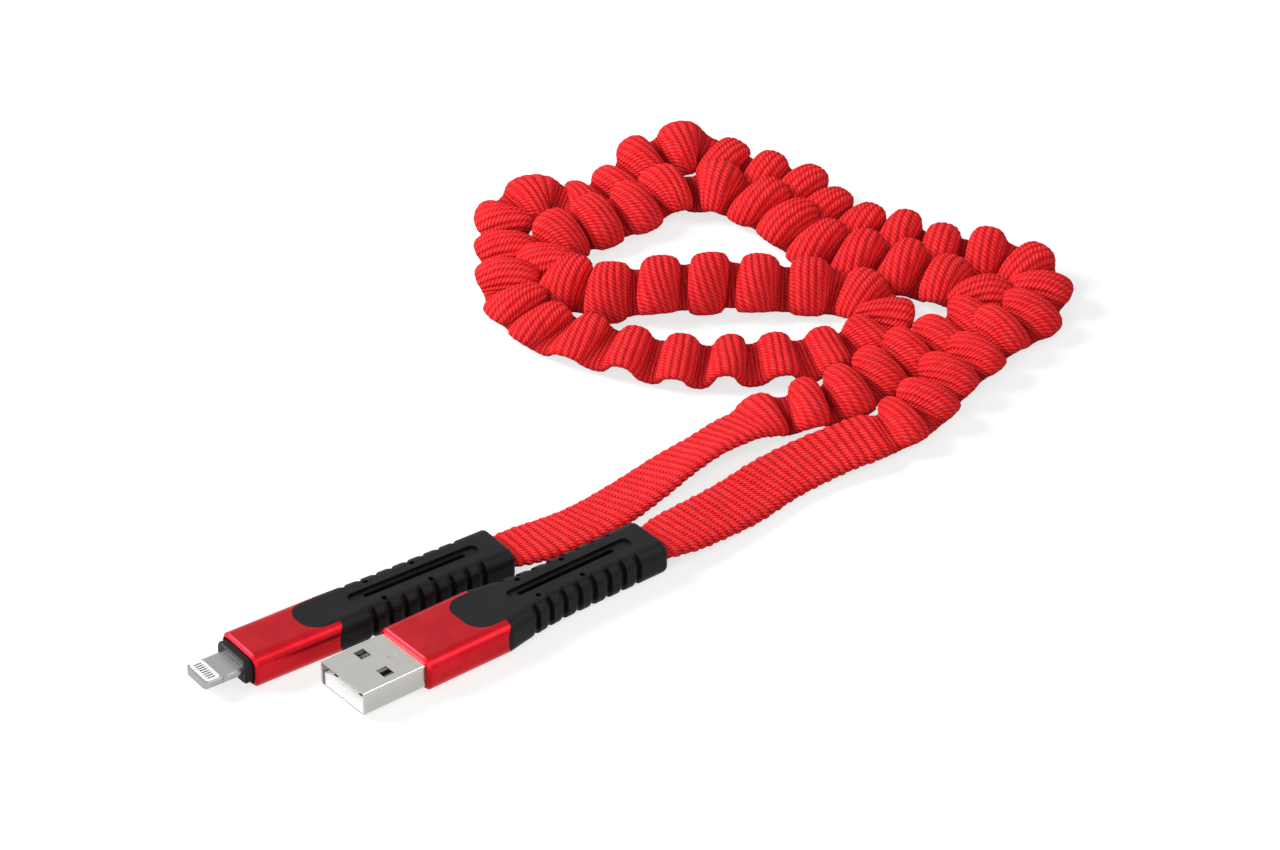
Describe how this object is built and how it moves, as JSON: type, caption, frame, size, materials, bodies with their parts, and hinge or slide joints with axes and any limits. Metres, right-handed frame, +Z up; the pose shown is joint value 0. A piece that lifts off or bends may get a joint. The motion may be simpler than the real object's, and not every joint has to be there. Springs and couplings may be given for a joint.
{
  "type": "coiled usb charging cable",
  "caption": "Charging cable of red woven elastic strap laid in a loose coil, with a large USB plug and a slim phone plug in red aluminium housings and black grooved boots.",
  "frame": {"origin": "middle of the flat underside of the large plug's housing, on the surface that the cable lies on", "axes": "+Z up, the large plug's mouth looks toward -Y, and the strap leaves it toward +Y"},
  "size_m": [0.1116, 0.1972, 0.009],
  "materials": {
    "plated_steel": "nickel-plated sheet, faintly brushed, slightly warm grey",
    "white_tongue": "white moulded plastic, satin",
    "inner_mould": "milky moulded plastic, hidden",
    "red_aluminium": "red anodised, fine satin grain with a bright bevelled rim",
    "black_rubber": "matte black moulded rubber",
    "gold_contact": "gold-plated, smooth",
    "wire_red": "red wire insulation",
    "wire_white": "white wire insulation",
    "wire_green": "green wire insulation",
    "wire_black": "black wire insulation",
    "tab_steel": "satin stainless steel",
    "white_panel": "white moulded panel between the contacts",
    "green_board": "green circuit board",
    "black_chip": "black chip package",
    "black_collar": "black moulded plastic, semi-gloss",
    "red_weave": "red woven yarn, transverse ribs, gathered into a ribbed cord between the flat ends"
  },
  "bodies": {
    "root": {"usb_plug_sleeve": "plated_steel", "usb_tongue": "white_tongue", "usb_inner_mould": "inner_mould", "usb_housing": "red_aluminium", "usb_boot": "black_rubber", "usb_contact_1": "gold_contact", "usb_contact_2": "gold_contact", "usb_contact_3": "gold_contact", "usb_contact_4": "gold_contact", "usb_wire_1": "wire_red", "usb_wire_2": "wire_white", "usb_wire_3": "wire_green", "usb_wire_4": "wire_black", "slim_tab": "tab_steel", "slim_panel": "white_panel", "slim_board": "green_board", "slim_chip": "black_chip", "slim_collar": "black_collar", "slim_inner_mould": "inner_mould", "slim_housing": "red_aluminium", "slim_boot": "black_rubber", "slim_contact_top_1": "gold_contact", "slim_contact_top_2": "gold_contact", "slim_contact_top_3": "gold_contact", "slim_contact_top_4": "gold_contact", "slim_contact_top_5": "gold_contact", "slim_contact_top_6": "gold_contact", "slim_contact_top_7": "gold_contact", "slim_contact_top_8": "gold_contact", "slim_contact_bottom_1": "gold_contact", "slim_contact_bottom_2": "gold_contact", "slim_contact_bottom_3": "gold_contact", "slim_contact_bottom_4": "gold_contact", "slim_contact_bottom_5": "gold_contact", "slim_contact_bottom_6": "gold_contact", "slim_contact_bottom_7": "gold_contact", "slim_contact_bottom_8": "gold_contact", "slim_wire_1": "wire_red", "slim_wire_2": "wire_white", "slim_wire_3": "wire_green", "slim_wire_4": "wire_black", "strap": "red_weave"}
  },
  "joints": []
}
